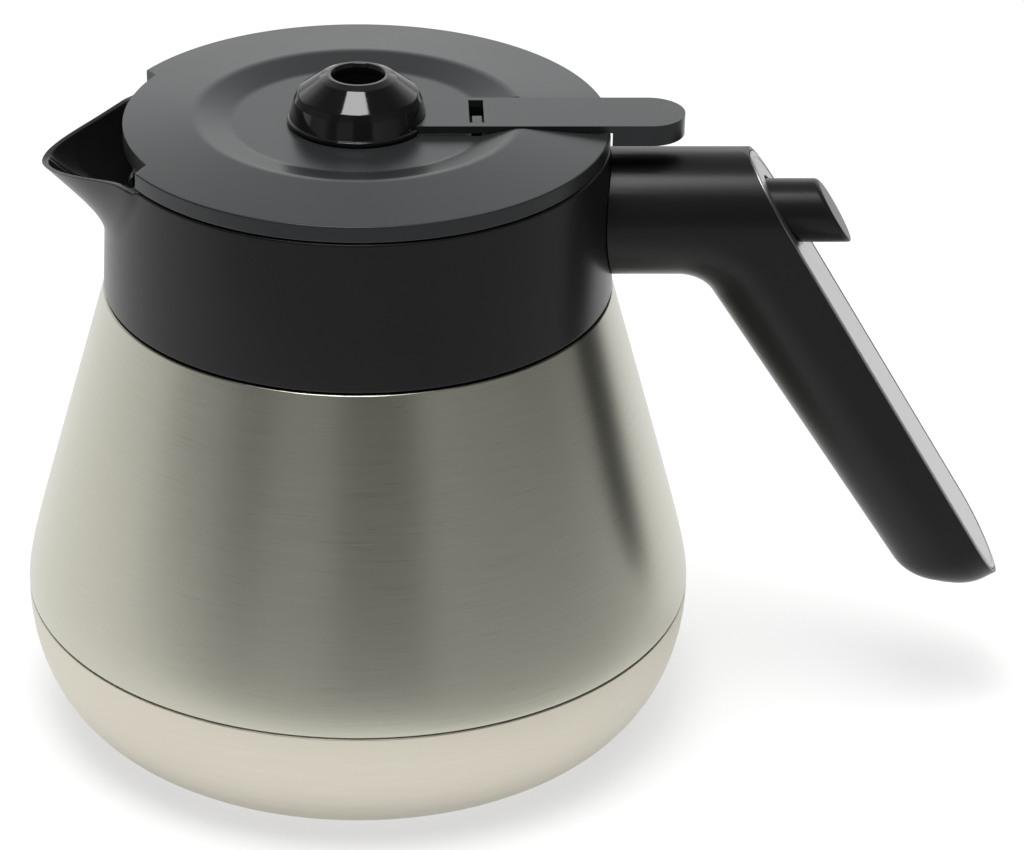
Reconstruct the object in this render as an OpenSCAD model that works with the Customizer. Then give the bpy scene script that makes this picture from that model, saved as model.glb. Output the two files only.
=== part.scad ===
// Brew-through thermal carafe: a double-walled steel flask with a spouted collar, a hooked handle
// and a flip lid. The origin is the centre of the base on the table, +X points to the handle.

/* [Body] */
// Radius of the widest ring of the body
belly_r = 75; // [70:0.5:80]
// Height of the widest ring, where the bowl meets the shell
belly_z = 31; // [26:0.5:36]
// Radius of the bowl where it reaches the table
foot_r = 53.7; // [50:0.1:58]
// Height of the collar's lower edge
shoulder_z = 103.8; // [95:0.1:115]
// Length over which the belly turns into the cone
belly_round = 8; // [4:0.5:12]
// Fullness of the bowl's curve
bowl_power = 2.1; // [1.8:0.1:2.6]
// Thickness of the steel sheet
steel_t = 0.8; // [0.5:0.1:1]
// Vacuum gap between the shell and the flask
vacuum_gap = 5.5; // [4:0.5:7]
// Height of the flask's floor
flask_floor_z = 12; // [9:0.5:16]
// Radius of the flat part of the flask's floor
flask_foot_r = 46; // [40:0.5:50]
// Space between the flask's mouth and the outside of its neck
neck_wall = 3.6; // [3:0.1:4.2]
// Height of the flask's neck above the shoulder
neck_h = 10.2; // [8:0.1:12]
// Width of the bowl's rim around the foot pad
foot_rim = 3.7; // [3:0.1:8]
// Thickness of the foot pad
pad_t = 1.6; // [1:0.1:2.5]
// Radius of the disc that seals the vacuum
vacuum_seal_r = 8; // [5:0.5:12]

/* [Collar] */
// Height of the collar
collar_h = 34.2; // [32:0.1:38]
// Radius of the collar's top and of the lid
lid_r = 54.8; // [54.2:0.1:57]
// How much wider the collar's foot is than its top
collar_flare = 1.3; // [0:0.1:3]
// Wall of the collar at its top
rim_wall = 5.6; // [5.2:0.1:6]
// How much the bore narrows from the top down to the seal
bore_taper = 2.6; // [2.3:0.1:3]
// Step from the seal's bore in to the flask's mouth
mouth_step = 2.7; // [2:0.1:3.2]
// Thickness of the shelf over the flask's mouth
shelf_t = 2.1; // [1.5:0.1:3]
// How far the shelf reaches in over the flask's mouth
shelf_reach = 1.4; // [0.5:0.1:3]
// Thickness of the gasket under the shelf
gasket_t = 1.2; // [0.8:0.1:2]
// Thickness of the collar's outer wall around the clamp ring
collar_wall = 2.8; // [2:0.1:3.5]

/* [Spout] */
// How far the lip reaches past the collar
spout_reach = 14; // [10:0.5:18]
// How far the lip's tip lies under the collar's top
lip_drop = 4.4; // [3:0.1:6]
// Half the angle that the spout takes of the collar
spout_angle = 29; // [27:0.5:33]
// Height of the spout's root under the collar's top
spout_depth = 22; // [18:0.5:24]
// Radius of the lip's nose
lip_r = 2.2; // [1.8:0.1:3]
// Wall of the spout
spout_wall = 1.6; // [1.2:0.1:2]

/* [Lid] */
// Height of the lid's rim
rim_h = 3.7; // [3.4:0.1:4.5]
// Radius of the raised ring on the lid
ridge_r = 35.4; // [34:0.1:40]
// Height of the raised ring over the rim
ridge_rise = 1.7; // [1.5:0.1:2.5]
// Radius of the flat floor of the lid's dish
dish_r = 27.7; // [24:0.1:30]
// Depth of the dish under the raised ring
dish_drop = 1.7; // [1.4:0.1:2]
// How far the rim is cut back over the spout
rim_cutback = 3.5; // [2.5:0.1:5]
// Wall of the plug
plug_wall = 2; // [1.6:0.1:2.6]
// Height of the plug under the lid
plug_h = 20.4; // [19:0.1:22]
// Angle that the plug's pouring window takes to each side
window_angle = 24; // [15:1:26]

/* [Lid hinge and catch] */
// Distance of the hinge from the collar's outside, at the spout
hinge_inset = 8.3; // [8:0.1:9]
// Depth of the hinge under the collar's top
hinge_drop = 2.2; // [2:0.1:3]
// Radius of the hinge pins
hinge_pin_r = 1.2; // [0.8:0.1:1.4]
// Width of the spring catch
catch_w = 7; // [5:0.5:9]
// Thickness of the spring catch
catch_t = 0.5; // [0.3:0.1:0.8]
// Reach of the catch's hook
hook_reach = 2.5; // [1.5:0.1:3]

/* [Knob and valve] */
// Radius of the brewing inlet
inlet_r = 5.5; // [4:0.1:6]
// Wall of the valve's stem
stem_wall = 1.7; // [1.2:0.1:2]
// Radius of the knob's dome
knob_r = 14.4; // [14:0.1:17]
// Height of the knob over the dish
knob_h = 11; // [10:0.1:14]
// Reach of the knob's skirt past the dome
skirt_w = 1.1; // [0.8:0.1:2]
// Radius of the valve's disc
valve_r = 14; // [12:0.5:18]
// Thickness of the valve's disc
valve_t = 2.4; // [2:0.1:3]
// Thickness of the valve's seal
valve_seal_t = 1.5; // [1:0.1:2]
// Radius of the valve's port
port_r = 9; // [8.5:0.1:10]

/* [Thumb lever] */
// Width of the lever
lever_w = 15.6; // [12:0.1:16]
// Thickness of the lever
lever_t = 1.7; // [1.4:0.1:1.7]
// How far the lever reaches past the lid
lever_reach = 15.8; // [13:0.1:20]
// Thickness of the thumb tab
tab_t = 4.7; // [3.5:0.1:5]
// Distance of the lever's pivot from the axis
pivot_x = 33; // [31:0.5:35]
// Radius of the lever's pin
lever_pin_r = 0.9; // [0.7:0.1:1]
// Length of the window in the lever
lever_slot_l = 3.2; // [2.5:0.1:4]

/* [Handle] */
// Radius of the handle's tube
tube_r = 14; // [12.5:0.1:14.2]
// Depth of the tube's axis under the collar's top
tube_drop = 17.4; // [17:0.1:19]
// Length of the tube from the collar to the plate, along its axis
tube_len = 38.7; // [36:0.1:44]
// Lean of the plate from upright
plate_lean = 30.6; // [27:0.1:33]
// Lean of the grip's back from upright
grip_lean = 33; // [30:0.1:35]
// Depth of the grip's flat sides behind the plate at the tube
grip_depth = 9.4; // [9:0.1:12]
// Length of the plate side from the tube's axis to the tip
grip_len = 103.6; // [90:0.1:115]
// Radius of the bend inside the handle
bend_r = 9.5; // [8:0.5:20]
// Thickness of the handle's plate
plate_t = 1.2; // [0.8:0.1:1.6]
// Edge of the handle left around the plate
plate_edge = 0.9; // [0.6:0.1:1.5]
// Wall of the grip around its hollow
grip_wall = 4.5; // [3:0.5:6]

/* [Handle button] */
// Radius of the button
button_r = 7; // [5:0.1:7.2]
// How far the button stands out of the plate
button_out = 11; // [8:0.1:14]
// Travel of the button
button_travel = 3.2; // [2:0.2:3.4]
// Radius of the push rod
rod_r = 2.3; // [1.8:0.1:2.6]
// Wall of the button's guide bush
bush_wall = 1.3; // [1:0.1:1.6]

/* [Fasteners and springs] */
// Radius of the screws that hold the handle
screw_r = 1.4; // [1:0.1:1.6]
// Length of the screws that hold the handle
screw_l = 14; // [10:0.5:18]
// Radius of the spring wire
wire_r = 0.5; // [0.4:0.1:0.6]
// Turns of the valve's spring
valve_turns = 5; // [4:0.5:6]
// Turns of the button's spring
button_turns = 3.5; // [2.5:0.5:4]

/* [Clearances] */
// Gap between pieces that move past each other
run_gap = 0.3; // [0.25:0.05:0.4]
// Gap around pieces that are fixed in each other
fit_gap = 0.2; // [0.1:0.05:0.25]
// Gap around a turning pin
pin_gap = 0.05; // [0.02:0.01:0.08]

/* [Hidden] */
$fn = 64;

eps = 0.01;
far = 200;
wall_steps = 14;
bowl_steps = 12;

shoulder_r = lid_r + collar_flare;
top_bore_r = lid_r - rim_wall;
seal_bore_r = top_bore_r - bore_taper;
mouth_r = seal_bore_r - mouth_step;
shelf_r = mouth_r - shelf_reach;
pad_r = foot_r - foot_rim;

foot_gap = 0.4;
collar_top = shoulder_z + collar_h;
neck_r = mouth_r + neck_wall;
rim_z = shoulder_z + neck_h;
gasket_top = rim_z + gasket_t;
shelf_top = gasket_top + shelf_t;
liner_inset = steel_t + vacuum_gap;

lid_z = collar_top + run_gap;
lid_rim_z = lid_z + rim_h;
ridge_z = lid_rim_z + ridge_rise;
dish_z = ridge_z - dish_drop;
front_r = lid_r - rim_cutback;
notch_turn = 1;
front_angle = spout_angle + notch_turn;
rim_round = 0.6;
hinge_z = collar_top - hinge_drop;

plug_z = lid_z - plug_h;
plug_space = 1.6;
plug_flare = 1.4;
plug_low_r = seal_bore_r - plug_space;
plug_top_r = plug_low_r + plug_flare;
plug_floor_top = plug_z + plug_wall;
seal_r = seal_bore_r - run_gap;
seal_lift = 1.6;
seal_z = plug_z + seal_lift;
seal_h = 3;
seal_slope = (top_bore_r - seal_bore_r) / (collar_top - seal_z);

ear_wall = 0.9;
ear_r = hinge_pin_r + ear_wall;
ear_neck = 1.6;
ear_sweep = 3.3;
ear_w = 2.8;
ear_side = 2.6;
hinge_x = lid_r - hinge_inset;
mouth_half = spout_angle - 1;
ear_out = (hinge_x - ear_sweep) * tan(mouth_half) - ear_side;
ear_in = ear_out - ear_w;
pin_cover = 1.6;
pin_root = sqrt(pow(lid_r, 2) - pow(hinge_x, 2)) - pin_cover;
rim_step = 0.8;
dam_wall = 3.4;
root_lift = 4;
root_angle = 6;

stem_r = inlet_r + stem_wall;
valve_z = plug_floor_top + valve_seal_t + eps;
knob_top = dish_z + knob_h;
knob_z = dish_z + run_gap;
knob_hollow = 4.6;
knob_ceiling = dish_z + knob_hollow;
skirt_h = 1.3;
skirt_wall = 1.4;
stem_cover = 2.5;
stem_top = knob_top - stem_cover;
knob_lip = 0.9;
knob_lip_r = inlet_r + knob_lip;

lever_top = ridge_z + run_gap;
lever_z = lever_top - lever_t;
lever_end_r = lever_w / 2;
lever_tip_x = lid_r + lever_reach;
tab_gap = 1.2;
tab_x = lid_r + tab_gap;
tab_z = lever_top - tab_t;
channel_floor = 1;
channel_z = lid_z + channel_floor;
channel_start = 5.5;
channel_x = dish_r - channel_start;
pivot_drop = 0.7;
pivot_z = lever_z - pivot_drop;
knuckle_wall = 1.1;
knuckle_r = lever_pin_r + knuckle_wall;
pin_grip = 4.5;
pin_reach = lever_w / 2 + pin_grip;
ring_space = 0.5;
ring_out_r = knob_r - skirt_wall - ring_space;
stem_space = 1.6;
ring_in_r = stem_r + stem_space;
lift_rib_w = 2.4;
slot_start = 3.5;
slot_x = dish_r - slot_start;
slot_half = 0.4 * lever_w;

tube_z = collar_top - tube_drop;
plate_x = lid_r + tube_len;
grip_axis_run = grip_depth / cos(plate_lean);
bend_axis_r = bend_r + tube_r;
bend_turn = 90 - grip_lean;
grip_taper = tan(grip_lean - plate_lean);
grip_end_depth = tube_r + grip_depth - (grip_len + grip_axis_run * sin(plate_lean)) * grip_taper;
bend_run = bend_axis_r * tan(bend_turn / 2);
blend_step = 0.1;
saddle_r = shoulder_r + fit_gap;
saddle_top = collar_top + 10;
saddle_taper = collar_flare / collar_h;
shell_face = -plate_t - fit_gap;
end_r = 15;
hollow_start = 24;
hollow_end = 20;
tip_r = 2.5;

chamber_r = button_r + run_gap + bush_wall + fit_gap / 2;
bush_depth = 7.7;
bush_x = plate_x - bush_depth;
flange_t = 2.2;
flange_x = bush_x - run_gap - flange_t;
spring_solid = 3.2;
spring_x = flange_x - button_travel - spring_solid;
pocket_h = 6.7;
pocket_out = 3.7;
pocket_side = 1;
pocket_y = catch_w / 2 + pocket_side;
groove_out = 1.6;
catch_pad_h = 11;
pocket_top = shelf_top + pocket_h;
hook_x = seal_bore_r + catch_t + hook_reach;
rod_gap = 0.8;
rod_tip_x = hook_x + rod_gap;
screw_y = 8.5;
screw_drop = 10.5;
screw_z = collar_top - screw_drop;
screw_head_r = 2 * screw_r;
screw_head_t = 2.2;
screw_cover = 1.2;
screw_seat_x = top_bore_r + screw_cover;

// The body's outline: a full bowl up to the belly, then a cone that eases out of it
function bowl_r(z) =
    foot_r + (belly_r - foot_r) * pow(1 - pow((belly_z - z) / belly_z, bowl_power), 1 / bowl_power);
function ease(z) = sqrt(pow(z - belly_z, 2) + pow(belly_round, 2)) - belly_round;
function wall_r(z) = belly_r - (belly_r - shoulder_r) * ease(z) / ease(shoulder_z);
function bowl_points(inset, low_z, low_r) = [
    for (i = [0:bowl_steps])
        let (
            up = 1 - cos(90 * i / bowl_steps),
            out = pow(1 - pow(1 - up, bowl_power), 1 / bowl_power)
        )
        [low_r + (belly_r - inset - low_r) * out, low_z + (belly_z - low_z) * up]
];
function wall_points(inset, z0, z1) = [
    for (i = [0:wall_steps])
        let (z = z0 + (z1 - z0) * i / wall_steps)
        [wall_r(z) - inset, z]
];
function backwards(points) = [for (i = [len(points) - 1:-1:0]) points[i]];
function arc(cx, cy, r, a0, a1, n = 12) = [
    for (i = [0:n]) [cx + r * cos(a0 + (a1 - a0) * i / n), cy + r * sin(a0 + (a1 - a0) * i / n)]
];

module revolve(points) {
    rotate_extrude() polygon(points);
}

module ring(r_in, r_out, z0, z1) {
    revolve([[r_in, z0], [r_out, z0], [r_out, z1], [r_in, z1]]);
}

module x_rod(r, x0, x1, y, z) {
    translate([x0, y, z]) rotate([0, 90, 0]) cylinder(r = r, h = x1 - x0);
}

module y_rod(r, y0, y1, x, z) {
    translate([x, y0, z]) rotate([-90, 0, 0]) cylinder(r = r, h = y1 - y0);
}

// A rod on the lid's hinge axis, from y0 to y1 on one side of the spout
module pair_rod(side, r, y0, y1) {
    y_rod(r, side > 0 ? y0 : -y1, side > 0 ? y1 : -y0, -hinge_x, hinge_z);
}

module box(x0, x1, y0, y1, z0, z1) {
    translate([x0, y0, z0]) cube([x1 - x0, y1 - y0, z1 - z0]);
}

module front_sector(half_angle, r, z0, z1) {
    translate([0, 0, z0]) linear_extrude(z1 - z0)
        polygon(concat([[0, 0]], arc(0, 0, r, 180 - half_angle, 180 + half_angle)));
}

// A round wire wound up along Z, as one closed tube
module coil(r, wire, turns, h, sides = 6, steps = 14) {
    rings = round(turns * steps);
    points = [
        for (i = [0:rings], k = [0:sides - 1])
            let (
                turn = 360 * turns * i / rings,
                around = 360 * k / sides,
                reach = r + wire * cos(around)
            )
            [reach * cos(turn), reach * sin(turn), wire + (h - 2 * wire) * i / rings + wire * sin(around)]
    ];
    sides_of = [
        for (i = [0:rings - 1], k = [0:sides - 1])
            let (a = i * sides + k, b = i * sides + (k + 1) % sides)
            [a, a + sides, b + sides, b]
    ];
    first = [for (k = [0:sides - 1]) k];
    last = [for (k = [sides - 1:-1:0]) rings * sides + k];
    polyhedron(points = points, faces = concat(sides_of, [first], [last]));
}

// Body

module outer_shell() {
    outside = wall_points(0, belly_z + fit_gap, shoulder_z);
    inside = wall_points(steel_t, belly_z + fit_gap, shoulder_z - steel_t);
    color("silver") revolve(concat(
        outside,
        [[neck_r, shoulder_z], [neck_r, rim_z - steel_t]],
        [[neck_r - steel_t, rim_z - steel_t], [neck_r - steel_t, shoulder_z - steel_t]],
        backwards(inside)
    ));
}

module base_bowl() {
    lap = 4;
    floor_z = pad_t + foot_gap;
    outside = [for (p = bowl_points(0, 0, foot_r)) if (p[1] > foot_gap) p];
    inside = [for (p = bowl_points(steel_t, 0, foot_r)) if (p[1] > floor_z + steel_t) p];
    color("lightgray") revolve(concat(
        [[0, floor_z], [pad_r + fit_gap, floor_z], [pad_r + fit_gap, foot_gap], [bowl_r(foot_gap), foot_gap]],
        outside,
        [[belly_r - steel_t - fit_gap, belly_z]],
        [[wall_r(belly_z + lap) - steel_t - fit_gap, belly_z + lap]],
        [[wall_r(belly_z + lap) - 2 * steel_t - fit_gap, belly_z + lap]],
        [[belly_r - 2 * steel_t - fit_gap, belly_z - 1]],
        [[belly_r - 2 * steel_t - fit_gap, belly_z - 2]],
        backwards([for (p = inside) if (p[1] < belly_z - 3) p]),
        [[pad_r, floor_z + steel_t], [0, floor_z + steel_t]]
    ));
}

module inner_flask() {
    shoulder_drop = 8;
    liner_shoulder_z = shoulder_z - shoulder_drop;
    neck_foot_z = shoulder_z - 2 * steel_t;
    outside = concat(
        bowl_points(liner_inset, flask_floor_z, flask_foot_r),
        wall_points(liner_inset, belly_z + 2, liner_shoulder_z)
    );
    inside = concat(
        bowl_points(liner_inset + steel_t, flask_floor_z + steel_t, flask_foot_r),
        wall_points(liner_inset + steel_t, belly_z + 2, liner_shoulder_z - steel_t)
    );
    color("gainsboro") revolve(concat(
        [[0, flask_floor_z]],
        outside,
        [[mouth_r + steel_t, neck_foot_z], [mouth_r + steel_t, rim_z - steel_t + eps]],
        [[neck_r, rim_z - steel_t + eps], [neck_r, rim_z], [mouth_r, rim_z]],
        [[mouth_r, neck_foot_z - steel_t]],
        backwards(inside),
        [[0, flask_floor_z + steel_t]]
    ));
}

module foot_pad() {
    edge = 0.5;
    color("dimgray") revolve([
        [0, 0], [pad_r - edge, 0], [pad_r, edge], [pad_r, pad_t], [0, pad_t]
    ]);
}

module vacuum_seal() {
    seat_z = pad_t + foot_gap + steel_t;
    color("darkgray") translate([0, 0, seat_z]) cylinder(r = vacuum_seal_r, h = 1.2);
}

// Collar and spout

// The spout's form, drawn in by a wall's thickness for its inside
module spout_form(inset, top_z, root_z, half_angle) {
    tip_x = lid_r + spout_reach - lip_r;
    tip_z = collar_top - lip_drop;
    side_back = 9.2;
    side_x = tip_x - side_back;
    side_y = 13.8;
    side_r = lip_r;
    nose_h = top_z - collar_top;
    hull($fn = 32) {
        front_sector(spout_angle - inset, lid_r - inset, collar_top - 1, top_z);
        front_sector(half_angle, lid_r - inset, root_z, root_z + 0.5);
        translate([-tip_x, 0, tip_z - lip_r]) sphere(r = lip_r - inset / 2, $fn = 24);
        translate([-tip_x, 0, tip_z - 1]) cylinder(r = lip_r - inset / 2, h = 1 + nose_h, $fn = 24);
        for (side = [-1, 1])
            translate([-side_x, side * (side_y - inset / 3), tip_z - 1.4])
                cylinder(r = side_r - inset / 2, h = 3 + nose_h, $fn = 24);
    }
}

module spout_mouth() {
    dam_r = seal_bore_r + dam_wall;
    lip_over = 6;
    front_sector(mouth_half, dam_r + 1, seal_z + seal_h + 1.2, collar_top + lip_over);
    difference() {
        spout_form(spout_wall, collar_top + lip_over, collar_top - spout_depth + root_lift, root_angle - 2);
        translate([0, 0, -1]) cylinder(r = dam_r, h = far);
    }
}

module neck_collar() {
    clamp_r = shoulder_r - collar_wall;
    clamp_top = rim_z - 0.4;
    color("dimgray") difference() {
        union() {
            revolve([
                [clamp_r, shoulder_z + run_gap], [shoulder_r, shoulder_z + run_gap],
                [lid_r, collar_top], [top_bore_r, collar_top],
                [seal_bore_r, seal_z], [seal_bore_r, shelf_top],
                [shelf_r, shelf_top], [shelf_r, gasket_top],
                [neck_r + 3 * fit_gap, gasket_top], [neck_r + 3 * fit_gap, clamp_top],
                [clamp_r, clamp_top]
            ]);
            difference() {
                spout_form(0, collar_top, collar_top - spout_depth, root_angle);
                translate([0, 0, -1]) cylinder(r = top_bore_r + 2, h = far);
            }
        }
        spout_mouth();
        box(mouth_r, seal_bore_r + pocket_out, -pocket_y, pocket_y, shelf_top, pocket_top);
        box(mouth_r, seal_bore_r + groove_out, -pocket_y, pocket_y, shelf_top, collar_top + 1);
        front_sector(front_angle + 0.5, far, collar_top - rim_step, collar_top + 1);
        x_rod(rod_r + run_gap, mouth_r, lid_r + 4, 0, tube_z);
        for (side = [-1, 1]) {
            x_rod(screw_r + fit_gap / 2, mouth_r, lid_r + 4, side * screw_y, screw_z);
            x_rod(screw_head_r + fit_gap, mouth_r, screw_seat_x, side * screw_y, screw_z);
            pair_rod(side, hinge_pin_r + pin_gap, ear_in, pin_root);
            pair_rod(side, ear_sweep, ear_in - run_gap, ear_out + run_gap);
        }
    }
}

module neck_gasket() {
    color("white") ring(mouth_r, neck_r + fit_gap, rim_z, gasket_top);
}

module clamp_ring() {
    color("black")
        ring(neck_r + fit_gap, shoulder_r - collar_wall - fit_gap, shoulder_z + run_gap, rim_z - 0.6);
}

module hinge_pins() {
    color("silver") for (side = [-1, 1])
        pair_rod(side, hinge_pin_r, ear_in + eps, pin_root - eps);
}

// Lid

module lid_top() {
    pocket_in = 20;
    pocket_out_r = plug_low_r - plug_wall - 1;
    pocket_roof = lid_z + 1.7;
    spine = lever_w / 2 + 3;
    lug_gap = 2 * run_gap;
    color("darkslategray") difference() {
        union() {
            difference() {
                revolve([
                    [stem_r + run_gap, lid_z], [lid_r, lid_z], [lid_r, lid_rim_z - rim_round],
                    [lid_r - rim_round, lid_rim_z], [ridge_r + 0.6, ridge_z - 0.1], [ridge_r, ridge_z],
                    [ridge_r - 0.6, ridge_z - 0.1], [dish_r, dish_z], [stem_r + run_gap, dish_z]
                ]);
                difference() {
                    front_sector(front_angle, lid_r + 5, lid_z - 1, ridge_z + 1);
                    translate([0, 0, lid_z - 2]) cylinder(r = front_r, h = rim_h + ridge_rise + 4);
                }
                difference() {
                    ring(pocket_in, pocket_out_r, lid_z - 1, pocket_roof);
                    box(0, far, -spine, spine, lid_z - 2, pocket_roof + 1);
                }
                box(channel_x, lid_r + 2, -lever_w / 2 - run_gap, lever_w / 2 + run_gap,
                    channel_z, ridge_z + 1);
            }
            box(slot_x + lug_gap, slot_x + lever_slot_l - run_gap, -slot_half + run_gap, -run_gap,
                channel_z - eps, lever_top - 2 * run_gap);
            for (side = [-1, 1]) {
                ear_y = side > 0 ? ear_in : -ear_out;
                pair_rod(side, ear_r, ear_in, ear_out);
                box(-hinge_x - ear_neck, -hinge_x + ear_neck, ear_y, ear_y + ear_out - ear_in,
                    hinge_z, lid_z + eps);
            }
        }
        y_rod(lever_pin_r + pin_gap, -pin_reach, pin_reach, pivot_x, pivot_z);
        for (side = [-1, 1])
            pair_rod(side, hinge_pin_r + pin_gap, ear_in - 1, ear_out + 1);
    }
}

module lid_plug() {
    groove_r = seal_r - 2.1;
    pad_y = catch_w / 2 + 0.5;
    pad_low = lid_z - catch_pad_h;
    wall_slope = (plug_top_r - plug_low_r) / plug_h;
    color("gray") difference() {
        union() {
            revolve([
                [port_r, plug_z], [plug_low_r, plug_z], [plug_low_r + wall_slope * (seal_z - plug_z), seal_z],
                [groove_r, seal_z], [groove_r, seal_z + seal_h],
                [plug_low_r + wall_slope * (seal_z + seal_h - plug_z), seal_z + seal_h],
                [plug_top_r, lid_z], [plug_top_r - plug_wall, lid_z],
                [plug_low_r - plug_wall - 0.6, plug_floor_top], [port_r, plug_floor_top]
            ]);
            box(plug_low_r - 1, seal_bore_r, -pad_y, pad_y, pad_low, lid_z - 2);
        }
        difference() {
            front_sector(window_angle, lid_r, seal_z + seal_h + 2, lid_z - 1.8);
            translate([0, 0, plug_z]) cylinder(r = plug_low_r - plug_wall - 3, h = plug_h);
        }
    }
}

module lid_seal() {
    lip = 0.8;
    top_r = seal_r + seal_slope * (seal_h - lip);
    color("lightgray") revolve([
        [seal_r - 2, seal_z + eps], [seal_r - lip, seal_z + eps], [seal_r, seal_z + lip],
        [top_r, seal_z + seal_h - lip], [top_r - lip, seal_z + seal_h - eps],
        [seal_r - 2, seal_z + seal_h - eps]
    ]);
}

// A leaf that hooks under the edge of the collar's pocket
module lid_catch() {
    leaf_x = seal_bore_r + eps;
    leaf_top = lid_z - 2.2;
    leaf_low = shelf_top + 1;
    hook_top = pocket_top - run_gap;
    color("silver") translate([0, catch_w / 2, 0]) rotate([90, 0, 0]) linear_extrude(catch_w) polygon([
        [leaf_x, leaf_low], [hook_x, tube_z + 1], [hook_x, hook_top], [hook_x - catch_t, hook_top],
        [hook_x - catch_t, tube_z + 1 + catch_t], [leaf_x + catch_t, leaf_low + 1.5],
        [leaf_x + catch_t, leaf_top], [leaf_x, leaf_top]
    ]);
}

module lever_pin() {
    color("silver") y_rod(lever_pin_r, -pin_reach + eps, pin_reach - eps, pivot_x, pivot_z);
}

module valve_spring() {
    spring_z = valve_z + valve_t + 0.1;
    color("silver") translate([0, 0, spring_z])
        coil(stem_r + 1.2 + wire_r, wire_r, valve_turns, lid_z - spring_z - 0.1);
}

// Lever, knob and valve

module thumb_lever() {
    end_x = lever_tip_x - lever_end_r;
    color("darkslategray") difference() {
        union() {
            translate([0, 0, lever_z]) linear_extrude(lever_t) {
                difference() {
                    circle(r = ring_out_r);
                    circle(r = ring_in_r);
                    translate([-far - lift_rib_w, -far / 2]) square([far, far]);
                }
                translate([ring_out_r - 1, -lever_end_r]) square([end_x - ring_out_r + 1, lever_w]);
                translate([end_x, 0]) circle(r = lever_end_r);
            }
            translate([0, 0, tab_z]) linear_extrude(tab_t) {
                translate([tab_x, -lever_end_r]) square([end_x - tab_x, lever_w]);
                translate([end_x, 0]) intersection() {
                    circle(r = lever_end_r);
                    translate([0, -lever_end_r]) square([lever_end_r, lever_w]);
                }
            }
            intersection() {
                ring(ring_in_r, ring_out_r, lever_z, knob_ceiling - fit_gap);
                box(-lift_rib_w / 2, lift_rib_w / 2, -far, far, lever_z, knob_ceiling);
            }
            y_rod(knuckle_r, -lever_end_r, lever_end_r, pivot_x, pivot_z);
        }
        box(slot_x, slot_x + lever_slot_l, -slot_half, slot_half, lever_z - 1, lever_top + 1);
        y_rod(lever_pin_r + pin_gap, -far / 2, far / 2, pivot_x, pivot_z);
    }
}

module inlet_knob() {
    dome_z = knob_z + skirt_h + 0.3;
    dome_r = knob_lip_r + 0.2;
    dome = [
        for (a = [0:10:80])
            [dome_r + (knob_r - dome_r) * cos(a), dome_z + (knob_top - 1.2 - dome_z) * sin(a)]
    ];
    notch_y = lever_w / 2 + run_gap + 0.1;
    color("black") difference() {
        revolve(concat(
            [[knob_r - skirt_wall, knob_z], [knob_r + skirt_w, knob_z], [knob_r + skirt_w, knob_z + skirt_h]],
            dome,
            [[knob_lip_r, knob_top - 0.3], [knob_lip_r - 0.3, knob_top], [inlet_r, knob_top]],
            [[inlet_r, stem_top], [stem_r + pin_gap, stem_top], [stem_r + pin_gap, knob_ceiling]],
            [[knob_r - skirt_wall, knob_ceiling]]
        ));
        box(ring_in_r, knob_r + skirt_w + 1, -notch_y, notch_y, knob_z - 1, lever_top + run_gap);
    }
}

module valve_stem() {
    color("gray") ring(inlet_r, stem_r, plug_z - 0.5, stem_top - eps);
}

module valve_disc() {
    color("gray") ring(stem_r + pin_gap, valve_r, valve_z, valve_z + valve_t);
}

module valve_seal() {
    color("lightgray") ring(stem_r + pin_gap, valve_r - 0.5, plug_floor_top + eps, valve_z - eps);
}

// Handle

// Turns a drawing of the handle's side, X across and Y up, into a body |y| < half_w
module side_body(half_w) {
    translate([0, half_w, 0]) rotate([90, 0, 0]) linear_extrude(2 * half_w) children();
}

// The plate's own frame: X down the slope, Y across, Z out of the plate
module on_plate(out = 0) {
    translate([plate_x, 0, tube_z]) rotate([0, 90 - plate_lean, 0]) translate([0, 0, out]) children();
}

// Everything behind a plane that lies along the plate, with the grip's rounded end
module behind_plate(out) {
    flat_s = grip_len - blend_step;
    on_plate() rotate([90, 0, 0]) translate([0, 0, -far / 2]) linear_extrude(far) polygon(concat(
        [[-far, out], [-far, -far], [flat_s - end_r, -far]],
        arc(flat_s - end_r, end_r - grip_end_depth, end_r, -90, 0),
        arc(flat_s - tip_r, out - tip_r, tip_r, 0, 90, 6)
    ));
}

module handle_outline(edge) {
    top_run = tube_r / cos(plate_lean);
    end_s = grip_len - tube_r;
    half_oval(top_run - edge, tube_r - edge);
    translate([0, -tube_r + edge]) square([end_s, 2 * (tube_r - edge)]);
    translate([end_s, 0]) circle(r = tube_r - edge);
}

// The arch that the tube makes where the plate cuts it
module half_oval(half_long, half_wide, steps = 36) {
    polygon([
        for (i = [0:steps])
            let (a = 90 + 180 * i / steps)
            [half_long * cos(a), half_wide * sin(a)]
    ]);
}

// Tube, grip, flat sides and bend, each a step narrower so that none grazes another
module grip_core() {
    axis_x = plate_x - grip_axis_run;
    bend_x = axis_x - bend_run;
    bend_z = tube_z - bend_axis_r;
    grip_run = grip_len + 2 * tube_r;
    end_x = axis_x + grip_run * sin(grip_lean);
    end_z = tube_z - grip_run * cos(grip_lean);
    x_rod(tube_r, 0, plate_x + far / 4, 0, tube_z);
    translate([axis_x, 0, tube_z]) rotate([0, 180 - grip_lean, 0])
        cylinder(r = tube_r - blend_step, h = grip_run);
    side_body(tube_r - 2 * blend_step) polygon([
        [axis_x, tube_z], [end_x + far, tube_z], [end_x + far, end_z], [end_x, end_z]
    ]);
    translate([bend_x, 0, bend_z]) rotate([90, 0, 0]) rotate([0, 0, grip_lean])
        rotate_extrude(angle = bend_turn) translate([bend_axis_r, 0]) circle(r = tube_r - 3 * blend_step);
}

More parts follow.
